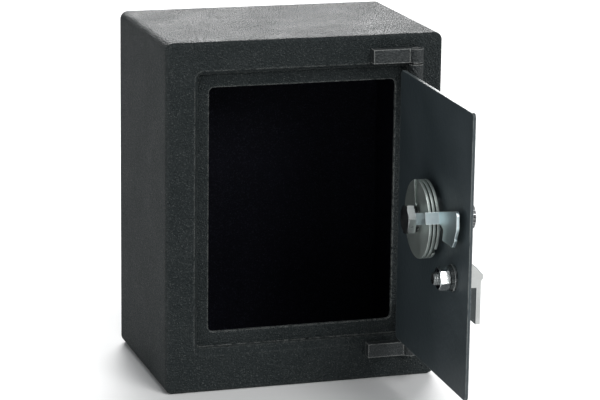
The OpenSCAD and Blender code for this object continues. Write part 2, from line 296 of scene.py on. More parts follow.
def paintMaterial(name, settings):
    material, tree, shader = startMaterial(name)
    grain = useGroup(tree, grainGroup, Pebble_Scale=settings["pebble"], Grit_Scale=settings["grit"],
                     Patch_Scale=settings["patch"])
    edge = useGroup(tree, edgeGroup, Width=settings["edgeWidth"], Break_Scale=settings["edgeBreak"],
                    Break_Level=settings.get("edgeLevel", 0.42))["Mask"]
    body = mixColors(tree, grain["Patch"], settings["dark"], settings["light"])
    speck = joinMath(tree, "MULTIPLY", grain["Speck"], settings["speckAmount"])
    body = mixColors(tree, speck, body, settings["speck"])
    # edge colour: wear, and on some finishes a painted highlight along the edges
    wearAndHighlightShare = joinMath(tree, "MULTIPLY", edge, settings["wearAndHighlightAmount"])
    body = mixColors(tree, wearAndHighlightShare, body, settings["wearAndHighlight"])
    tree.links.new(body, shader.inputs["Base Color"])
    rough = remap(tree, grain["Patch"], 0, 1, settings["roughLow"], settings["roughHigh"])
    tree.links.new(rough, shader.inputs["Roughness"])
    addBump(tree, shader, grain["Height"], settings["bump"], settings["relief"])
    shader.inputs["Specular IOR Level"].default_value = settings.get("gloss", 0.5)
    return material


def metalMaterial(name, settings):
    material, tree, shader = startMaterial(name)
    scratch = useGroup(tree, scratchGroup, Stretch=settings["stretch"], Turn=settings["turn"],
                       Scale=settings["scale"])
    edge = useGroup(tree, edgeGroup, Width=settings["edgeWidth"], Break_Scale=settings["edgeBreak"],
                    Break_Level=settings.get("edgeLevel", 0.42))["Mask"]
    body = mixColors(tree, scratch["Smudge"], settings["dark"], settings["light"])
    # edge colour: wear, and on some finishes a painted highlight along the edges
    wearAndHighlightShare = joinMath(tree, "MULTIPLY", edge, settings["wearAndHighlightAmount"])
    tree.links.new(mixColors(tree, wearAndHighlightShare, body, settings["wearAndHighlight"]), shader.inputs["Base Color"])
    mixed = joinMath(tree, "ADD", joinMath(tree, "MULTIPLY", scratch["Lines"], 0.5),
                     joinMath(tree, "MULTIPLY", scratch["Smudge"], 0.5))
    rough = remap(tree, mixed, 0, 1, settings["roughLow"], settings["roughHigh"])
    tree.links.new(rough, shader.inputs["Roughness"])
    shader.inputs["Metallic"].default_value = 1.0
    addBump(tree, shader, scratch["Lines"], settings["bump"], settings["relief"])
    return material


finishes = {
    # casing coat: its light edge colour is partly wear and partly a painted highlight along the
    # edges and the rebate
    "casingCoat": dict(pebble=1250.0, grit=1750.0, patch=45.0, dark=(0.027, 0.034, 0.0355),
                       light=(0.036, 0.043, 0.0445), speck=(0.15, 0.162, 0.158),
                       speckAmount=0.85, edgeWidth=0.0012, edgeBreak=420.0,
                       wearAndHighlight=(0.34, 0.355, 0.345), wearAndHighlightAmount=0.7, edgeLevel=0.34, roughLow=0.50,
                       roughHigh=0.60, bump=1.0, relief=0.0014, gloss=0.07),
    # inside coat: dark paint, made near black as painted shade inside the casing
    "innerCoatWithPaintedShade": dict(pebble=1150.0, grit=1700.0, patch=45.0, dark=(0.003, 0.0035, 0.0075),
                      light=(0.005, 0.0055, 0.011), speck=(0.05, 0.055, 0.08), speckAmount=0.5,
                      edgeWidth=0.0012, edgeBreak=420.0, wearAndHighlight=(0.01, 0.01, 0.012),
                      wearAndHighlightAmount=0.2, roughLow=0.6, roughHigh=0.7, bump=0.6, relief=0.0006,
                      gloss=0.12),
    "doorPaint": dict(pebble=420.0, grit=2200.0, patch=30.0, dark=(0.038, 0.052, 0.058),
                      light=(0.048, 0.064, 0.072), speck=(0.12, 0.13, 0.13), speckAmount=0.15,
                      edgeWidth=0.0008, edgeBreak=300.0, wearAndHighlight=(0.30, 0.32, 0.31), wearAndHighlightAmount=0.8,
                      edgeLevel=0.30, roughLow=0.40, roughHigh=0.52, bump=0.2, relief=0.0004),
    # hinge paint: its light edge colour is partly wear and partly a painted highlight along the
    # straps' edges
    "hingePaint": dict(pebble=900.0, grit=2100.0, patch=60.0, dark=(0.019, 0.024, 0.026),
                       light=(0.026, 0.031, 0.032), speck=(0.18, 0.19, 0.19), speckAmount=0.7,
                       edgeWidth=0.0008, edgeBreak=300.0, wearAndHighlight=(0.36, 0.37, 0.36),
                       wearAndHighlightAmount=0.95, edgeLevel=0.22, roughLow=0.5, roughHigh=0.6, bump=0.8,
                       relief=0.0008, gloss=0.4),
}
metals = {
    "zincPlate": dict(dark=(0.50, 0.57, 0.60), light=(0.66, 0.72, 0.74), wearAndHighlight=(0.85, 0.87, 0.88),
                      wearAndHighlightAmount=0.6, stretch=(1.0, 1.0, 6.0), turn=(0.0, 0.0, 0.0), scale=260.0,
                      edgeWidth=0.0005, edgeBreak=500.0, roughLow=0.16, roughHigh=0.34,
                      bump=0.08, relief=0.0002),
    "brightChrome": dict(dark=(0.74, 0.76, 0.78), light=(0.84, 0.85, 0.86), wearAndHighlight=(0.9, 0.9, 0.9),
                         wearAndHighlightAmount=0.3, stretch=(1.0, 1.0, 3.0), turn=(0.0, 0.0, 0.0),
                         scale=300.0, edgeWidth=0.0005, edgeBreak=500.0, roughLow=0.05,
                         roughHigh=0.14, bump=0.03, relief=0.0002),
    # disc steel: the near-white edge colour is a painted highlight on the rims and slot walls
    "discSteel": dict(dark=(0.62, 0.70, 0.655), light=(0.74, 0.82, 0.78),
                      wearAndHighlight=(0.96, 0.98, 0.98), wearAndHighlightAmount=1.0, stretch=(1.0, 1.0, 5.0),
                      turn=(0.5, 0.0, 0.0), scale=300.0, edgeWidth=0.0004, edgeBreak=600.0,
                      edgeLevel=0.25, roughLow=0.38, roughHigh=0.50, bump=0.10, relief=0.0002),
    "dialSteel": dict(dark=(0.13, 0.134, 0.138), light=(0.22, 0.224, 0.228),
                      wearAndHighlight=(0.6, 0.6, 0.6), wearAndHighlightAmount=0.5, stretch=(1.0, 1.0, 3.0),
                      turn=(0.0, 0.0, 0.0), scale=300.0, edgeWidth=0.0004, edgeBreak=500.0,
                      roughLow=0.16, roughHigh=0.28, bump=0.05, relief=0.0002),
    "handleChrome": dict(dark=(0.50, 0.51, 0.50), light=(0.62, 0.63, 0.62), wearAndHighlight=(0.8, 0.8, 0.8),
                         wearAndHighlightAmount=0.4, stretch=(1.0, 1.0, 5.0), turn=(0.0, 0.0, 0.0),
                         scale=300.0, edgeWidth=0.0006, edgeBreak=500.0, roughLow=0.14,
                         roughHigh=0.26, bump=0.08, relief=0.0002),
    "washerSteel": dict(dark=(0.10, 0.105, 0.105), light=(0.20, 0.205, 0.20),
                        wearAndHighlight=(0.5, 0.5, 0.5), wearAndHighlightAmount=0.4, stretch=(1.0, 1.0, 3.0),
                        turn=(0.0, 0.0, 0.0), scale=300.0, edgeWidth=0.0004, edgeBreak=500.0,
                        roughLow=0.2, roughHigh=0.34, bump=0.05, relief=0.0002),
    "boltSteel": dict(dark=(0.26, 0.28, 0.28), light=(0.38, 0.40, 0.40), wearAndHighlight=(0.8, 0.82, 0.82),
                      wearAndHighlightAmount=0.6, stretch=(1.0, 1.0, 4.0), turn=(0.0, 0.0, 0.0), scale=300.0,
                      edgeWidth=0.0004, edgeBreak=500.0, roughLow=0.24, roughHigh=0.36,
                      bump=0.06, relief=0.0002),
    "nutSteel": dict(dark=(0.78, 0.82, 0.82), light=(0.90, 0.93, 0.93), wearAndHighlight=(0.95, 0.97, 0.97),
                     wearAndHighlightAmount=0.5, stretch=(1.0, 1.0, 4.0), turn=(0.0, 0.0, 0.0), scale=300.0,
                     edgeWidth=0.0004, edgeBreak=500.0, roughLow=0.14, roughHigh=0.26, bump=0.06,
                     relief=0.0002),
    # hook steel: its bright blue-white colour is a painted reflection of bank notes kept in the
    # safe, which are not modelled
    "hookSteelPaintedReflection": dict(dark=(0.72, 0.88, 0.91), light=(0.82, 0.95, 0.97), wearAndHighlight=(0.95, 0.97, 0.97),
                      wearAndHighlightAmount=1.0, stretch=(1.0, 1.0, 6.0), turn=(0.0, 0.0, 0.0), scale=260.0,
                      edgeWidth=0.0005, edgeBreak=400.0, edgeLevel=0.2, roughLow=0.28,
                      roughHigh=0.40, bump=0.04, relief=0.0002),
    "pinSteel": dict(dark=(0.36, 0.36, 0.35), light=(0.5, 0.5, 0.49), wearAndHighlight=(0.7, 0.7, 0.7),
                     wearAndHighlightAmount=0.4, stretch=(4.0, 4.0, 1.0), turn=(0.0, 0.0, 0.0), scale=300.0,
                     edgeWidth=0.0005, edgeBreak=500.0, roughLow=0.3, roughHigh=0.45, bump=0.08,
                     relief=0.0002),
}
materials = {name: paintMaterial(name, settings) for name, settings in finishes.items()}
materials.update({name: metalMaterial(name, settings) for name, settings in metals.items()})
finishes["dialInk"] = dict(finishes["doorPaint"], dark=(0.008, 0.008, 0.009),
                           light=(0.014, 0.014, 0.015), wearAndHighlightAmount=0.0)
finishes["dialWhite"] = dict(finishes["dialInk"], dark=(0.55, 0.56, 0.55),
                             light=(0.68, 0.69, 0.68))
materials["dialInk"] = paintMaterial("dialInk", finishes["dialInk"])
materials["dialWhite"] = paintMaterial("dialWhite", finishes["dialWhite"])
print("materials:", ", ".join(sorted(materials)))


# mesh helpers

weldGap = 1e-7  # points of one turned solid this close are one point
mergeGap = 1e-6  # the same between flat pieces that meet
fineAngle = 20.0  # the smallest crease kept sharp, in degrees, on small hardware
turnedAngle = 30.0  # the same on large turned pieces


def makeObject(name, bm, material, smoothAngle=35.0):
    mesh = bpy.data.meshes.new(name)
    bm.to_mesh(mesh)
    bm.free()
    mesh.materials.append(material)
    piece = bpy.data.objects.new(name, mesh)
    scene.collection.objects.link(piece)
    smoothByAngle(piece, smoothAngle)
    return piece


def smoothByAngle(piece, angle):
    piece.data.set_sharp_from_angle(angle=math.radians(angle))
    for face in piece.data.polygons:
        face.use_smooth = True


def applyModifiers(piece):
    graph = bpy.context.evaluated_depsgraph_get()
    mesh = bpy.data.meshes.new_from_object(piece.evaluated_get(graph), depsgraph=graph)
    piece.modifiers.clear()
    piece.data = mesh


def weightNormals(piece):
    weighted = piece.modifiers.new("weighted", "WEIGHTED_NORMAL")
    weighted.keep_sharp = True
    weighted.weight = 80
    applyModifiers(piece)


def bevelPiece(piece, width, segments, angle=32.0):
    bevel = piece.modifiers.new("bevel", "BEVEL")
    bevel.width = width
    bevel.segments = segments
    bevel.limit_method = "ANGLE"
    bevel.angle_limit = math.radians(angle)
    bevel.harden_normals = False
    applyModifiers(piece)
    smoothByAngle(piece, 40.0)
    weightNormals(piece)


def arcPoints(centre, radius, start, end, steps):
    turns = [math.radians(start + (end - start) * i / steps) for i in range(steps + 1)]
    return [(centre[0] + radius * math.cos(t), centre[1] + radius * math.sin(t)) for t in turns]


def roundRect(low, high, radius, steps=10):
    x0, z0 = low
    x1, z1 = high
    points = arcPoints((x1 - radius, z1 - radius), radius, 0, 90, steps)
    points += arcPoints((x0 + radius, z1 - radius), radius, 90, 180, steps)
    points += arcPoints((x0 + radius, z0 + radius), radius, 180, 270, steps)
    points += arcPoints((x1 - radius, z0 + radius), radius, 270, 360, steps)
    return points


def bridgeRings(bm, rings, closed):
    rows = [[bm.verts.new(point) for point in ring] for ring in rings]
    count = len(rows[0])
    pairs = list(zip(rows, rows[1:])) + ([(rows[-1], rows[0])] if closed else [])
    for near, far in pairs:
        for i in range(count):
            bm.faces.new((near[i], near[(i + 1) % count], far[(i + 1) % count], far[i]))
    return rows


def turnedRing(profile, turn, matrix):
    # an outline of (radius, height) at one turn round the local Z axis
    return [matrix @ Vector((r * math.cos(turn), r * math.sin(turn), z)) for r, z in profile]


def closedTurning(rings):
    bm = bmesh.new()
    bridgeRings(bm, rings, True)
    bmesh.ops.remove_doubles(bm, verts=bm.verts, dist=weldGap)
    bmesh.ops.recalc_face_normals(bm, faces=bm.faces)
    return bm


def lathe(profile, steps, matrix):
    # a closed outline of (radius, height) turned round the local Z axis
    turns = [2 * math.pi * i / steps for i in range(steps)]
    return closedTurning([turnedRing(profile, turn, matrix) for turn in turns])


def cutPlate(loops, low, high, matrix):
    # a flat plate from closed outlines of (x, y), the first outside and the others holes
    bm = bmesh.new()
    edges = []
    for level in (low, high):
        flat = []
        for loop in loops:
            row = [bm.verts.new((x, y, level)) for x, y in loop]
            flat += [bm.edges.new((row[i], row[(i + 1) % len(row)])) for i in range(len(row))]
        edges.append(flat)
    for flat in edges:
        bmesh.ops.triangle_fill(bm, edges=flat, use_beauty=True)
    for bottom, top in zip(*edges):
        bm.faces.new((bottom.verts[0], bottom.verts[1], top.verts[1], top.verts[0]))
    bmesh.ops.recalc_face_normals(bm, faces=bm.faces)
    bm.transform(matrix)
    return bm


def joinMesh(bm, other):
    mesh = bpy.data.meshes.new("joined")
    other.to_mesh(mesh)
    other.free()
    bm.from_mesh(mesh)
    bpy.data.meshes.remove(mesh)


def circlePoints(radius, steps):
    return [(radius * math.cos(2 * math.pi * i / steps), radius * math.sin(2 * math.pi * i / steps))
            for i in range(steps)]


def copyNode(*nodes):
    # a merged copy of carried-over solids, with their flat faces whole again
    bm = bmesh.new()
    for node in nodes:
        bm.from_mesh(frame["nodes"][node].data)
    bmesh.ops.remove_doubles(bm, verts=bm.verts, dist=mergeGap)
    bmesh.ops.dissolve_limit(bm, angle_limit=math.radians(0.6), verts=bm.verts, edges=bm.edges,
                             delimit={"NORMAL"})
    return bm


def place(piece, body, slot, *replaced):
    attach(piece, body)
    if replaced:
        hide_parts(*replaced)


def softNode(node, body, slot, material, width, segments=2):
    piece = makeObject(node + "_soft", copyNode(node), material)
    bevelPiece(piece, width, segments)
    place(piece, body, slot, node)
    return piece


# casing: one skin, lofted from the back round the front edge, over the rebate and the mouth
# to the inside

casing = {
    "longEdge": 4.0 * mm,
    "wall": 2.0 * mm,
    "frontEdge": 1.9 * mm,
    "rebateEdge": 2.0 * mm,
    "rebateRoll": 2.2 * mm,  # how deep the rebate's sloped edge goes
    "rebateFoot": 1.85,  # the slope is this much wider below the door
    "rebateProfile": [(1.0, 0.0), (0.94, 0.02), (0.88, 0.07), (0.2, 0.62), (0.08, 0.78),
                      (0.0, 1.0)],
    "rebateCorner": 2.5 * mm,
    "side": 16.3 * mm,  # widths of the front plate round the door
    "above": 16.0 * mm,
    "below": 22.0 * mm,
    "rebateDeep": 4.6 * mm,
    "ledge": 1.5 * mm,
    "ledgeSide": 6.4 * mm,
    "ledgeAbove": 7.2 * mm,
    "ledgeBelow": 7.5 * mm,
    "mouthEdge": 0.5 * mm,
    "backEdge": 0.4 * mm,
    "edgeSteps": 8,
    "insideShare": 0.9,  # past this share of a wall a face belongs to the inside
}


# the inside faces take the inner coat, whose near-black colour is partly painted shade
def coatInside(piece, isInside):
    piece.data.materials.append(materials["innerCoatWithPaintedShade"])
    for face in piece.data.polygons:
        if isInside(face.center):
            face.material_index = 1


def makeCasing(s):
    low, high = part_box("front_frame")
    front, back = low[1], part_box("body_wrap")[1][1]
    steps = s["edgeSteps"]

    def ring(x0, z0, x1, z1, grow, radius, y, foot=1.0):
        outline = roundRect((x0 - grow, z0 - grow * foot), (x1 + grow, z1 + grow), radius, 12)
        return [Vector((x, y, z)) for x, z in outline]

    outer = (low[0], low[2], high[0], high[2])
    door = (low[0] + s["side"], low[2] + s["below"], high[0] - s["side"], high[2] - s["above"])
    mouth = (door[0] + s["ledgeSide"], door[1] + s["ledgeBelow"],
             door[2] - s["ledgeSide"], door[3] - s["ledgeAbove"])
    ledge = front + s["rebateDeep"]
    corner = s["rebateCorner"]
    rings = []
    for i in range(3):
        turn = math.radians(45 * i)
        inset = s["backEdge"] * (1 - math.sin(turn))
        y = back - s["backEdge"] * (1 - math.cos(turn))
        rings.append(ring(*outer, -inset, s["longEdge"] - inset, y))
    for i in range(steps + 1):
        turn = math.radians(90 * i / steps)
        inset = s["frontEdge"] * (1 - math.cos(turn))
        y = front + s["frontEdge"] * (1 - math.sin(turn))
        rings.append(ring(*outer, -inset, s["longEdge"] - inset, y))
    for share, deep in s["rebateProfile"]:
        grow = s["rebateEdge"] * share
        y = front + s["rebateRoll"] * deep
        rings.append(ring(*door, grow, corner + grow, y, s["rebateFoot"]))
    rings.append(ring(*door, 0, corner, ledge))
    for i in range(4):
        turn = math.radians(30 * i)
        grow = s["mouthEdge"] * (1 - math.sin(turn))
        y = ledge + s["mouthEdge"] * (1 - math.cos(turn))
        rings.append(ring(*mouth, grow, corner + grow, y))
    rings.append(ring(*mouth, 0, corner, ledge + s["ledge"]))
    rings.append(ring(*door, s["ledge"], corner + s["ledge"], ledge + s["ledge"]))
    rings.append(ring(*door, s["ledge"], corner + s["ledge"], front + s["wall"]))
    rings.append(ring(*outer, -s["wall"], s["longEdge"] - s["wall"], front + s["wall"]))
    rings.append(ring(*outer, -s["wall"], s["longEdge"] - s["wall"], back))
    bm = bmesh.new()
    bridgeRings(bm, rings, True)
    bmesh.ops.recalc_face_normals(bm, faces=bm.faces)
    shell = makeObject("casing_shell", bm, materials["casingCoat"], turnedAngle)
    skin = s["wall"] * s["insideShare"]
    margin = s["ledge"] / 2

    def isInside(c):
        hollow = (c.y > front + skin and low.x + skin < c.x < high.x - skin
                  and low.z + skin < c.z < high.z - skin)
        onRebate = (c.y < ledge + s["ledge"] * s["insideShare"]
                    and door[0] - margin < c.x < door[2] + margin
                    and door[1] - margin < c.z < door[3] + margin)
        return hollow and not onRebate

    coatInside(shell, isInside)
    weightNormals(shell)
    place(shell, "safe_body", "casing_paint", "body_wrap", "front_frame")


makeCasing(casing)
backPanel = softNode("back_panel", "safe_body", "casing_paint", materials["casingCoat"], 0.4 * mm)
coatInside(backPanel, lambda c: c.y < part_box("back_panel")[0][1] + 0.1 * mm)
print("casing made")


# hinges

hinge = {"strapEdge": 0.6 * mm, "strapSegments": 3, "pinEdge": 0.3 * mm, "panelEdge": 0.3 * mm}


def makeHinges(s):
    paint = materials["hingePaint"]
    for level in ("upper", "lower"):
        for end, body in (("_hinge_strap", "safe_body"), ("_hinge_leaf", "door")):
            softNode(level + end, body, "hinge_paint", paint, s["strapEdge"], s["strapSegments"])
        softNode(level + "_hinge_pin", "safe_body", "pin_steel", materials["pinSteel"],
                 s["pinEdge"])
    softNode("door_panel", "door", "door_paint", materials["doorPaint"], s["panelEdge"])


makeHinges(hinge)
print("door and hinges made")


# lock: drawn in its own frame, x to the door's free edge, y up, z into the casing from the
# door's inner face

lockAxis = Vector(joints["knob_turn"]["axis"])
lockAcross = Vector((0, 0, 1)).cross(lockAxis)
lockFrame = Matrix((lockAcross, Vector((0, 0, 1)), lockAxis)).transposed().to_4x4()
lockFrame.translation = Vector(joints["knob_turn"]["pos_m"])
lockFrameBack = lockFrame.inverted()


def levels(node):
    # how far a node reaches along the lock's axis
    along = [(lockFrameBack @ v.co).z for v in frame["nodes"][node].data.vertices]
    return min(along), max(along)


def reach(node):
    # a turned node's inner and outer radius round the lock's axis
    away = [math.hypot(*(lockFrameBack @ v.co).xy) for v in frame["nodes"][node].data.vertices]
    return min(away), max(away)


def tubeProfile(inner, outer, low, high, edge):
    return [(inner, low + edge), (inner + edge, low), (outer - edge, low), (outer, low + edge),
            (outer, high - edge), (outer - edge, high), (inner + edge, high), (inner, high - edge)]


def hexSolid(flats, hole, low, high, matrix, ends=(True, True), slope=0.5):
    # a six-sided prism whose corners are turned off at its ends
    steps = 96
    crown = flats / 2 * 0.96
    rings = []
    for i in range(steps):
        turn = 2 * math.pi * i / steps
        off = (math.degrees(turn) + 30) % 60 - 30
        edge = flats / 2 / math.cos(math.radians(off))
        cut = (edge - crown) * slope
        bottom = low + (cut if ends[0] else 0)
        top = high - (cut if ends[1] else 0)
        profile = [(hole, low), (crown, low), (edge, bottom), (edge, top), (crown, high),
                   (hole, high)]
        rings.append(turnedRing(profile, turn, matrix))
    return closedTurning(rings)


def threadProfile(radius, low, high, pitch, depth, tip):
    profile = [(0.0, low), (radius, low)]
    turns = int((high - tip - low) / pitch)
    for i in range(turns):
        base = high - tip - (turns - i) * pitch
        profile += [(radius, base + 0.1 * pitch), (radius - depth, base + 0.5 * pitch),
                    (radius, base + 0.9 * pitch)]
    profile += [(radius, high - tip), (radius - tip, high), (0.0, high)]
    return profile


def discOutline(radius, width, long, angle):
    half = width / 2
    opening = math.degrees(math.asin(half / radius))
    points = arcPoints((0, 0), radius, opening, 360 - opening, 120)
    inner = radius - long + half
    points += arcPoints((inner, 0), half, 270, 90, 16)
    turn = math.radians(angle)
    return [(x * math.cos(turn) - y * math.sin(turn), x * math.sin(turn) + y * math.cos(turn))
            for x, y in points]


lock = {
    "slotWide": 3.0 * mm,
    # disc, the code set it rides on, its slot's direction and depth
    "slots": [("rear", "outer", 318, 10.0 * mm), ("middle", "middle", 232, 10.0 * mm),
              ("front", "inner", 100, 12.5 * mm)],
    "discEdge": 0.22 * mm,
    "headFlats": 13.0 * mm,
    "headHigh": 3.8 * mm,
    "headTurn": 14.0,
    "bushNutFlats": 23.36 * mm,
    "sleeveEdge": 0.15 * mm,
    "washerEdge": 0.12 * mm,
    "shaft": 4.0 * mm,
    "shaftTip": 3.7 * mm,
    "shaftChamfer": 0.3 * mm,
}


def makeLock(s):
    for name, ring, angle, long in s["slots"]:
        node = name + "_code_disc"
        hub, rim = reach(node)
        low, high = levels(node)
        outline = discOutline(rim, s["slotWide"], long, angle)
        plate = cutPlate([outline, circlePoints(hub, 64)], low, high, lockFrame)
        disc = makeObject(node + "_slotted", plate, materials["discSteel"])
        bevelPiece(disc, s["discEdge"], 2)
        place(disc, ring + "_code_set", "disc_steel", node)
        softNode(ring + "_code_sleeve", ring + "_code_set", "zinc_plate", materials["zincPlate"],
                 s["sleeveEdge"])
    inner, outer = reach("cam_washer")
    low, high = levels("cam_washer")
    profile = tubeProfile(inner, outer, low, high, s["washerEdge"])
    washer = makeObject("cam_washer_ring", lathe(profile, 96, lockFrame), materials["washerSteel"])
    place(washer, "bolt", "zinc_plate", "cam_washer")
    low, high = levels("spindle_bolt")
    seat = high - s["headHigh"]
    turned = lockFrame @ Matrix.Rotation(math.radians(s["headTurn"] + 30), 4, "Z")
    bm = hexSolid(s["headFlats"], 0.0, seat, high, turned, (False, True))
    profile = [(0, low), (s["shaftTip"], low), (s["shaft"], low + s["shaftChamfer"]),
               (s["shaft"], seat), (0, seat)]
    joinMesh(bm, lathe(profile, 64, lockFrame))
    bolt = makeObject("spindle_bolt_turned", bm, materials["boltSteel"], fineAngle)
    place(bolt, "bolt", "zinc_plate", "spindle_bolt")
    low, high = levels("bush_nut")
    hole = reach("bush_nut")[0]
    turned = lockFrame @ Matrix.Rotation(math.radians(30), 4, "Z")
    cut = hexSolid(s["bushNutFlats"], hole, low, high, turned, (False, True))
    nut = makeObject("bush_nut_cut", cut, materials["zincPlate"], fineAngle)
    place(nut, "door", "zinc_plate", "bush_nut")


makeLock(lock)
print("lock made")


# hook: one bent strip, its arm level over the discs and its plate close to the door

hook = {
    "rest": 14.5,  # upward slope of the arm in degrees
    "sheet": 1.5 * mm,
    "wide": 5.8 * mm,
    "hub": 3.4 * mm,
    "bend": 19.6 * mm,
    "run": 1.6 * mm,
    "lean": 1.0 * mm,  # how much further out the bend is on the upper side
    "edge": 0.3 * mm,
    # x, y and corner radius of the plate, from the arm's upper edge round to its lower edge
    "plate": [(48.1, 2.75, 2.2), (46.4, -5.8, 5.0), (42.6, -10.0, 0.8), (42.5, -10.9, 0.2),
              (38.5, -13.8, 0.5), (24.5, -10.5, 0.5), (27.2, -5.6, 1.2), (23.9, -3.3, 1.0)],
    "longestTrim": 0.48,  # a corner's arc takes at most this share of a side
}


def roundCorners(points, longest, steps=6):
    # an open outline whose corners are replaced by arcs; its ends stay
    soft = [points[0][:2]]
    for before, corner, after in zip(points, points[1:], points[2:]):
        here = Vector(corner[:2])
        back = (Vector(before[:2]) - here).normalized()
        ahead = (Vector(after[:2]) - here).normalized()
        half = math.acos(max(-1, min(1, back.dot(ahead)))) / 2
        trim = min(corner[2] / math.tan(half), (Vector(before[:2]) - here).length * longest,
                   (Vector(after[:2]) - here).length * longest)
        radius = trim * math.tan(half)
        centre = here + (back + ahead).normalized() * radius / math.sin(half)
        first = here + back * trim - centre
        sweep = first.angle_signed(here + ahead * trim - centre)
        for i in range(steps + 1):
            turn = -sweep * i / steps
            spot = centre + Matrix.Rotation(turn, 2) @ first
            soft.append((spot.x, spot.y))
    return soft + [points[-1][:2]]


def makeHook(s):
    low, high = levels("hook_cam")
    half = s["wide"] / 2
    start = s["bend"] + s["run"]
    opening = math.degrees(math.asin(half / s["hub"]))
    arm = [(s["bend"], -half), (s["bend"], half)]
    arm += arcPoints((0, 0), s["hub"], opening, 360 - opening, 24)
    corners = [(x * mm, y * mm, r * mm) for x, y, r in s["plate"]]
    plate = roundCorners([(start, half, 0)] + corners + [(start, -half, 0)], s["longestTrim"])
    bend = [(s["bend"], half), (s["bend"], -half), (start, -half), (start, half)]

    def spot(x, y, upper):
        if x <= s["bend"] + mergeGap:
            level = high - s["sheet"]
        else:
            level = low
        bent = s["bend"] - mergeGap <= x <= start + mergeGap
        shift = s["lean"] if upper and bent else 0
        return Vector((x + shift, y, level + (s["sheet"] if upper else 0)))

    bm = bmesh.new()
    for outlinePart in (arm, bend, plate):
        for upper in (False, True):
            bm.faces.new([bm.verts.new(spot(x, y, upper)) for x, y in outlinePart])
    walls = [arm[1:] + arm[:1], [bend[1], bend[2]], [bend[3], bend[0]], plate]
    for path in walls:
        for near, far in zip(path, path[1:]):
            face = (spot(*near, False), spot(*far, False), spot(*far, True), spot(*near, True))
            bm.faces.new([bm.verts.new(point) for point in face])
    bmesh.ops.remove_doubles(bm, verts=bm.verts, dist=mergeGap)
    bmesh.ops.recalc_face_normals(bm, faces=bm.faces)
    bm.transform(lockFrame @ Matrix.Rotation(math.radians(s["rest"]), 4, "Z"))
    # the hook's colour carries a painted reflection
    piece = makeObject("hook_cam_bent", bm, materials["hookSteelPaintedReflection"])
    bevelPiece(piece, s["edge"], 3)
    place(piece, "bolt", "zinc_plate", "hook_cam")


makeHook(hook)
print("hook made")


# dial: three rings and a knob on an index flange, with ticks and numbers on their outer faces

dial = {
    "flangeRim": 0.5 * mm,
    "teeth": 60,
    "toothDeep": 0.28 * mm,
    "ringEdge": 0.35 * mm,
    "knobTeeth": 20,
    "knobToothDeep": 0.8 * mm,
    "knobEdge": 0.5 * mm,
    "digitHigh": 1.75 * mm,
    "digitUp": 0.03 * mm,
    "tickLong": 0.7 * mm,
    "tickWide": 0.14 * mm,
    "tickCount": 50,
    "flangeHigh": 1.4 * mm,
    "bushWall": 1.5 * mm,
    "bushEdge": 0.3 * mm,
}
# x to the right of someone facing the dial, y up, z towards them
faceFrame = lockFrame @ Matrix.Rotation(math.pi, 4, "Y")


def grippedRing(inner, outer, low, high, edge, teeth, deep, matrix):
    # a turned ring whose rim is cut into fine teeth
    steps = teeth * 4
    rings = []
    for i in range(steps):
        turn = 2 * math.pi * i / steps
        rim = outer - (deep if i % 4 in (2, 3) else 0)
        profile = [(inner, low), (outer - edge - deep, low), (rim, low + edge), (rim, high - edge),
                   (outer - edge - deep, high), (inner, high)]
        rings.append(turnedRing(profile, turn, matrix))
    return closedTurning(rings)


def buildTickTree():
    tree = bpy.data.node_groups.new("dialTicks", "GeometryNodeTree")
    inputs = [("Count", "NodeSocketInt", 50), ("Radius", "NodeSocketFloat", 0.01),
              ("Length", "NodeSocketFloat", 0.0007), ("Width", "NodeSocketFloat", 0.00014),
              ("Height", "NodeSocketFloat", 0.00006)]
    for label, kind, value in inputs:
        socket = tree.interface.new_socket(name=label, in_out="INPUT", socket_type=kind)
        socket.default_value = value
    tree.interface.new_socket(name="Ink", in_out="INPUT", socket_type="NodeSocketMaterial")
    tree.interface.new_socket(name="Geometry", in_out="OUTPUT", socket_type="NodeSocketGeometry")
    source = tree.nodes.new("NodeGroupInput")
    sink = tree.nodes.new("NodeGroupOutput")
    circle = addNode(tree, "GeometryNodeMeshCircle")
    tree.links.new(source.outputs["Count"], circle.inputs["Vertices"])
    tree.links.new(source.outputs["Radius"], circle.inputs["Radius"])
    size = addNode(tree, "ShaderNodeCombineXYZ")
    for axis, label in zip("XYZ", ("Length", "Width", "Height")):
        tree.links.new(source.outputs[label], size.inputs[axis])
    tick = addNode(tree, "GeometryNodeMeshCube")
    tree.links.new(size.outputs[0], tick.inputs["Size"])
    index = addNode(tree, "GeometryNodeInputIndex").outputs[0]
    step = joinMath(tree, "DIVIDE", 2 * math.pi, source.outputs["Count"])
    turn = addNode(tree, "ShaderNodeCombineXYZ")
    tree.links.new(joinMath(tree, "MULTIPLY", index, step), turn.inputs["Z"])
    copies = addNode(tree, "GeometryNodeInstanceOnPoints")
    tree.links.new(circle.outputs["Mesh"], copies.inputs["Points"])
    tree.links.new(tick.outputs["Mesh"], copies.inputs["Instance"])
    tree.links.new(turn.outputs[0], copies.inputs["Rotation"])
    real = addNode(tree, "GeometryNodeRealizeInstances")
    tree.links.new(copies.outputs[0], real.inputs[0])
    inked = addNode(tree, "GeometryNodeSetMaterial")
    tree.links.new(real.outputs[0], inked.inputs["Geometry"])
    tree.links.new(source.outputs["Ink"], inked.inputs["Material"])
    tree.links.new(inked.outputs[0], sink.inputs["Geometry"])
    return tree


tickTree = buildTickTree()


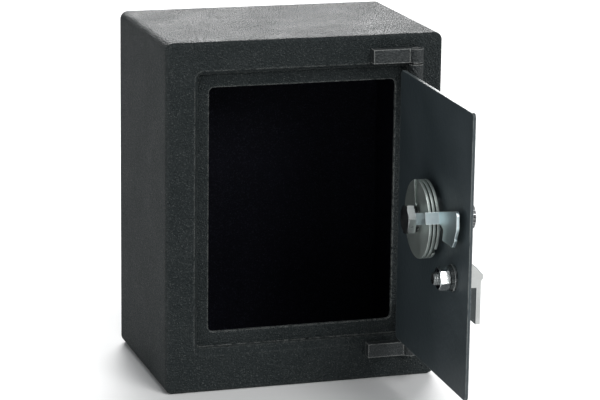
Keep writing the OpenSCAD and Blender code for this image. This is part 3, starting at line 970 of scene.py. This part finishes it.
def makeTicks(name, count, radius, level, body):
    piece = bpy.data.objects.new(name, bpy.data.meshes.new(name))
    scene.collection.objects.link(piece)
    ticks = piece.modifiers.new("ticks", "NODES")
    ticks.node_group = tickTree
    values = {"Count": count, "Radius": radius, "Length": dial["tickLong"],
              "Width": dial["tickWide"], "Height": 2 * dial["digitUp"],
              "Ink": materials["dialInk"]}
    for item in tickTree.interface.items_tree:
        if item.in_out == "INPUT":
            ticks[item.identifier] = values[item.name]
    applyModifiers(piece)
    piece.data.transform(faceFrame @ Matrix.Translation((0, 0, level)))
    place(piece, body, "bright_chrome")


def makeDigits(name, radius, level, body):
    bm = bmesh.new()
    for i in range(10):
        curve = bpy.data.curves.new(name, "FONT")
        curve.body = str(i)
        curve.size = dial["digitHigh"] * 1.35
        curve.extrude = dial["digitUp"]
        curve.align_x = "CENTER"
        curve.align_y = "CENTER"
        curve.resolution_u = 4
        text = bpy.data.objects.new(name, curve)
        scene.collection.objects.link(text)
        graph = bpy.context.evaluated_depsgraph_get()
        mesh = bpy.data.meshes.new_from_object(text.evaluated_get(graph), depsgraph=graph)
        spin = Matrix.Rotation(math.radians(-36 * i), 4, "Z")
        mesh.transform(faceFrame @ spin @ Matrix.Translation((0, radius, level)))
        bm.from_mesh(mesh)
        bpy.data.objects.remove(text)
        bpy.data.curves.remove(curve)
    bmesh.ops.remove_doubles(bm, verts=bm.verts, dist=weldGap)
    bmesh.ops.recalc_face_normals(bm, faces=bm.faces)
    piece = makeObject(name, bm, materials["dialWhite"])
    place(piece, body, "bright_chrome")


def makeDial(s):
    inner, outer = reach("lock_bush")
    low, high = levels("lock_bush")
    flangeTop = low + s["flangeHigh"]
    neck = inner + s["bushWall"]
    rim = s["flangeRim"]
    edge = s["bushEdge"]
    profile = [(inner, low), (outer - rim, low), (outer, low + rim), (outer, flangeTop),
               (neck, flangeTop), (neck, high - edge), (neck - edge, high), (inner, high)]
    bush = makeObject("lock_bush_turned", lathe(profile, 128, lockFrame),
                      materials["brightChrome"], turnedAngle)
    place(bush, "door", "bright_chrome", "lock_bush")
    outers = [outer]
    for name in ("outer", "middle", "inner"):
        node = name + "_code_ring"
        inner, outer = reach(node)
        low, high = levels(node)
        ring = grippedRing(inner, outer, low, high, s["ringEdge"], s["teeth"], s["toothDeep"],
                           lockFrame)
        piece = makeObject(node + "_cut", ring, materials["dialSteel"], turnedAngle)
        place(piece, name + "_code_set", "bright_chrome", node)
        outers.append(outer)
    outers.append(reach("turn_knob")[1])
    low = levels("lock_bush")[0]
    makeTicks("flange_ticks", s["tickCount"], (outers[0] + outers[1]) / 2, -low, "door")
    for i, name in enumerate(("outer", "middle", "inner")):
        low = levels(name + "_code_ring")[0]
        middle = (outers[i + 1] - s["ringEdge"] - s["toothDeep"] + outers[i + 2]) / 2
        makeDigits(name + "_ring_digits", middle, -low, name + "_code_set")
    inner, outer = reach("turn_knob")
    low, high = levels("turn_knob")
    knob = grippedRing(0.0, outer, low, high, s["knobEdge"], s["knobTeeth"], s["knobToothDeep"],
                       lockFrame)
    piece = makeObject("turn_knob_cut", knob, materials["dialSteel"], turnedAngle)
    place(piece, "bolt", "bright_chrome", "turn_knob")


makeDial(dial)
print("dial made")


# handle and the hardware that holds it

handle = {
    "across": 32.0 * mm,  # the stud's place in the lock's frame
    "drop": 20.6 * mm,
    "stud": 3.0 * mm,
    "pitch": 1.0 * mm,
    "threadDeep": 0.35 * mm,
    "nutFlats": 10.0 * mm,
    "nutTurn": 20.0,
    "splitGap": 9.0,
    "edge": 0.9 * mm,
    "studTip": 0.6 * mm,
    "washerFit": 0.1 * mm,  # how much wider than the stud a washer's hole is
    "washerOut": 6.4 * mm,
    "washerEdge": 0.2 * mm,
    "springOut": 5.5 * mm,
    "nutFit": 0.03 * mm,
    "splitTurn": 205,  # where the spring washer's gap faces, in degrees
    "splitRise": 0.3 * mm,  # how far its ends are apart in height
}


def splitRing(inner, outer, low, high, gap, start, rise, matrix):
    # a spring washer: a ring with a narrow gap, its ends a little apart in height
    steps = 72
    rings = []
    for i in range(steps + 1):
        share = i / steps
        turn = math.radians(gap / 2 + (360 - gap) * share + start)
        lift = (share - 0.5) * rise
        bottom = low + rise / 2 + lift
        top = high - rise / 2 + lift
        profile = [(inner, bottom), (outer, bottom), (outer, top), (inner, top)]
        rings.append(turnedRing(profile, turn, matrix))
    bm = bmesh.new()
    rows = bridgeRings(bm, rings, False)
    bm.faces.new(rows[0])
    bm.faces.new(rows[-1])
    bmesh.ops.recalc_face_normals(bm, faces=bm.faces)
    return bm


def makeHandle(s):
    studFrame = lockFrame @ Matrix.Translation((s["across"], -s["drop"], 0))
    softNode("pull_handle", "door", "bright_chrome", materials["handleChrome"], s["edge"], 4)
    low, high = levels("handle_stud")
    profile = threadProfile(s["stud"], low, high, s["pitch"], s["threadDeep"], s["studTip"])
    stud = makeObject("handle_stud_threaded", lathe(profile, 64, studFrame),
                      materials["boltSteel"], fineAngle)
    place(stud, "door", "zinc_plate", "handle_stud")
    low, high = levels("handle_washer")
    washer = tubeProfile(s["stud"] + s["washerFit"], s["washerOut"], low, high, s["washerEdge"])
    place(makeObject("handle_washer_turned", lathe(washer, 96, studFrame), materials["boltSteel"]),
          "door", "zinc_plate", "handle_washer")
    low, high = levels("handle_lock_washer")
    spring = splitRing(s["stud"] + s["washerFit"], s["springOut"], low, high, s["splitGap"],
                       s["splitTurn"], s["splitRise"], studFrame)
    place(makeObject("handle_lock_washer_split", spring, materials["boltSteel"]),
          "door", "zinc_plate", "handle_lock_washer")
    low, high = levels("handle_nut")
    turned = studFrame @ Matrix.Rotation(math.radians(s["nutTurn"]), 4, "Z")
    nut = hexSolid(s["nutFlats"], s["stud"] + s["nutFit"], low, high, turned, (True, True))
    piece = makeObject("handle_nut_cut", nut, materials["nutSteel"], fineAngle)
    place(piece, "door", "zinc_plate", "handle_nut")


makeHandle(handle)
print("handle made")
